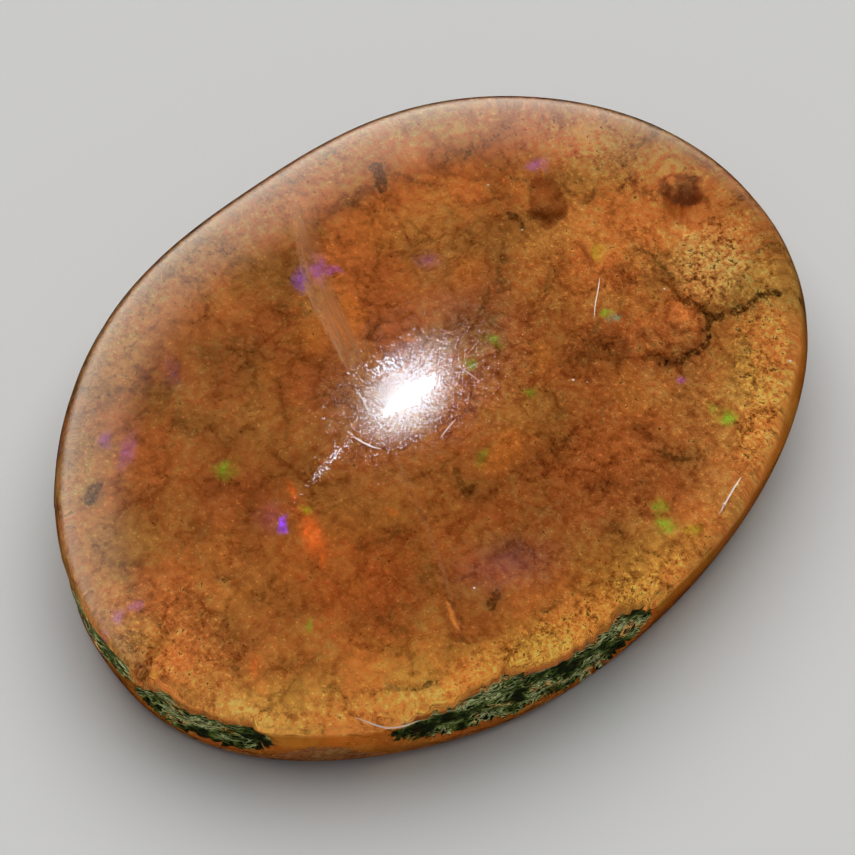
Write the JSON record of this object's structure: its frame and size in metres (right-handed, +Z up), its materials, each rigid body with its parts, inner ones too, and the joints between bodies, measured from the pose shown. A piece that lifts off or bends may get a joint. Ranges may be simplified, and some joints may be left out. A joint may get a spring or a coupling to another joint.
{
  "type": "ethiopian opal cabochon",
  "caption": "Oval domed opal with a clear amber body, a flat rough-skinned back and patches of green crust low on its flank.",
  "frame": {"origin": "middle of the flat back, under the middle of the oval", "axes": "+X along the long axis, +Y along the short axis, +Z up through the top of the dome"},
  "size_m": [0.016, 0.012, 0.0062],
  "materials": {
    "amber_opal": "polished"
  },
  "bodies": {
    "root": {"opal_cabochon": "amber_opal"}
  },
  "joints": []
}
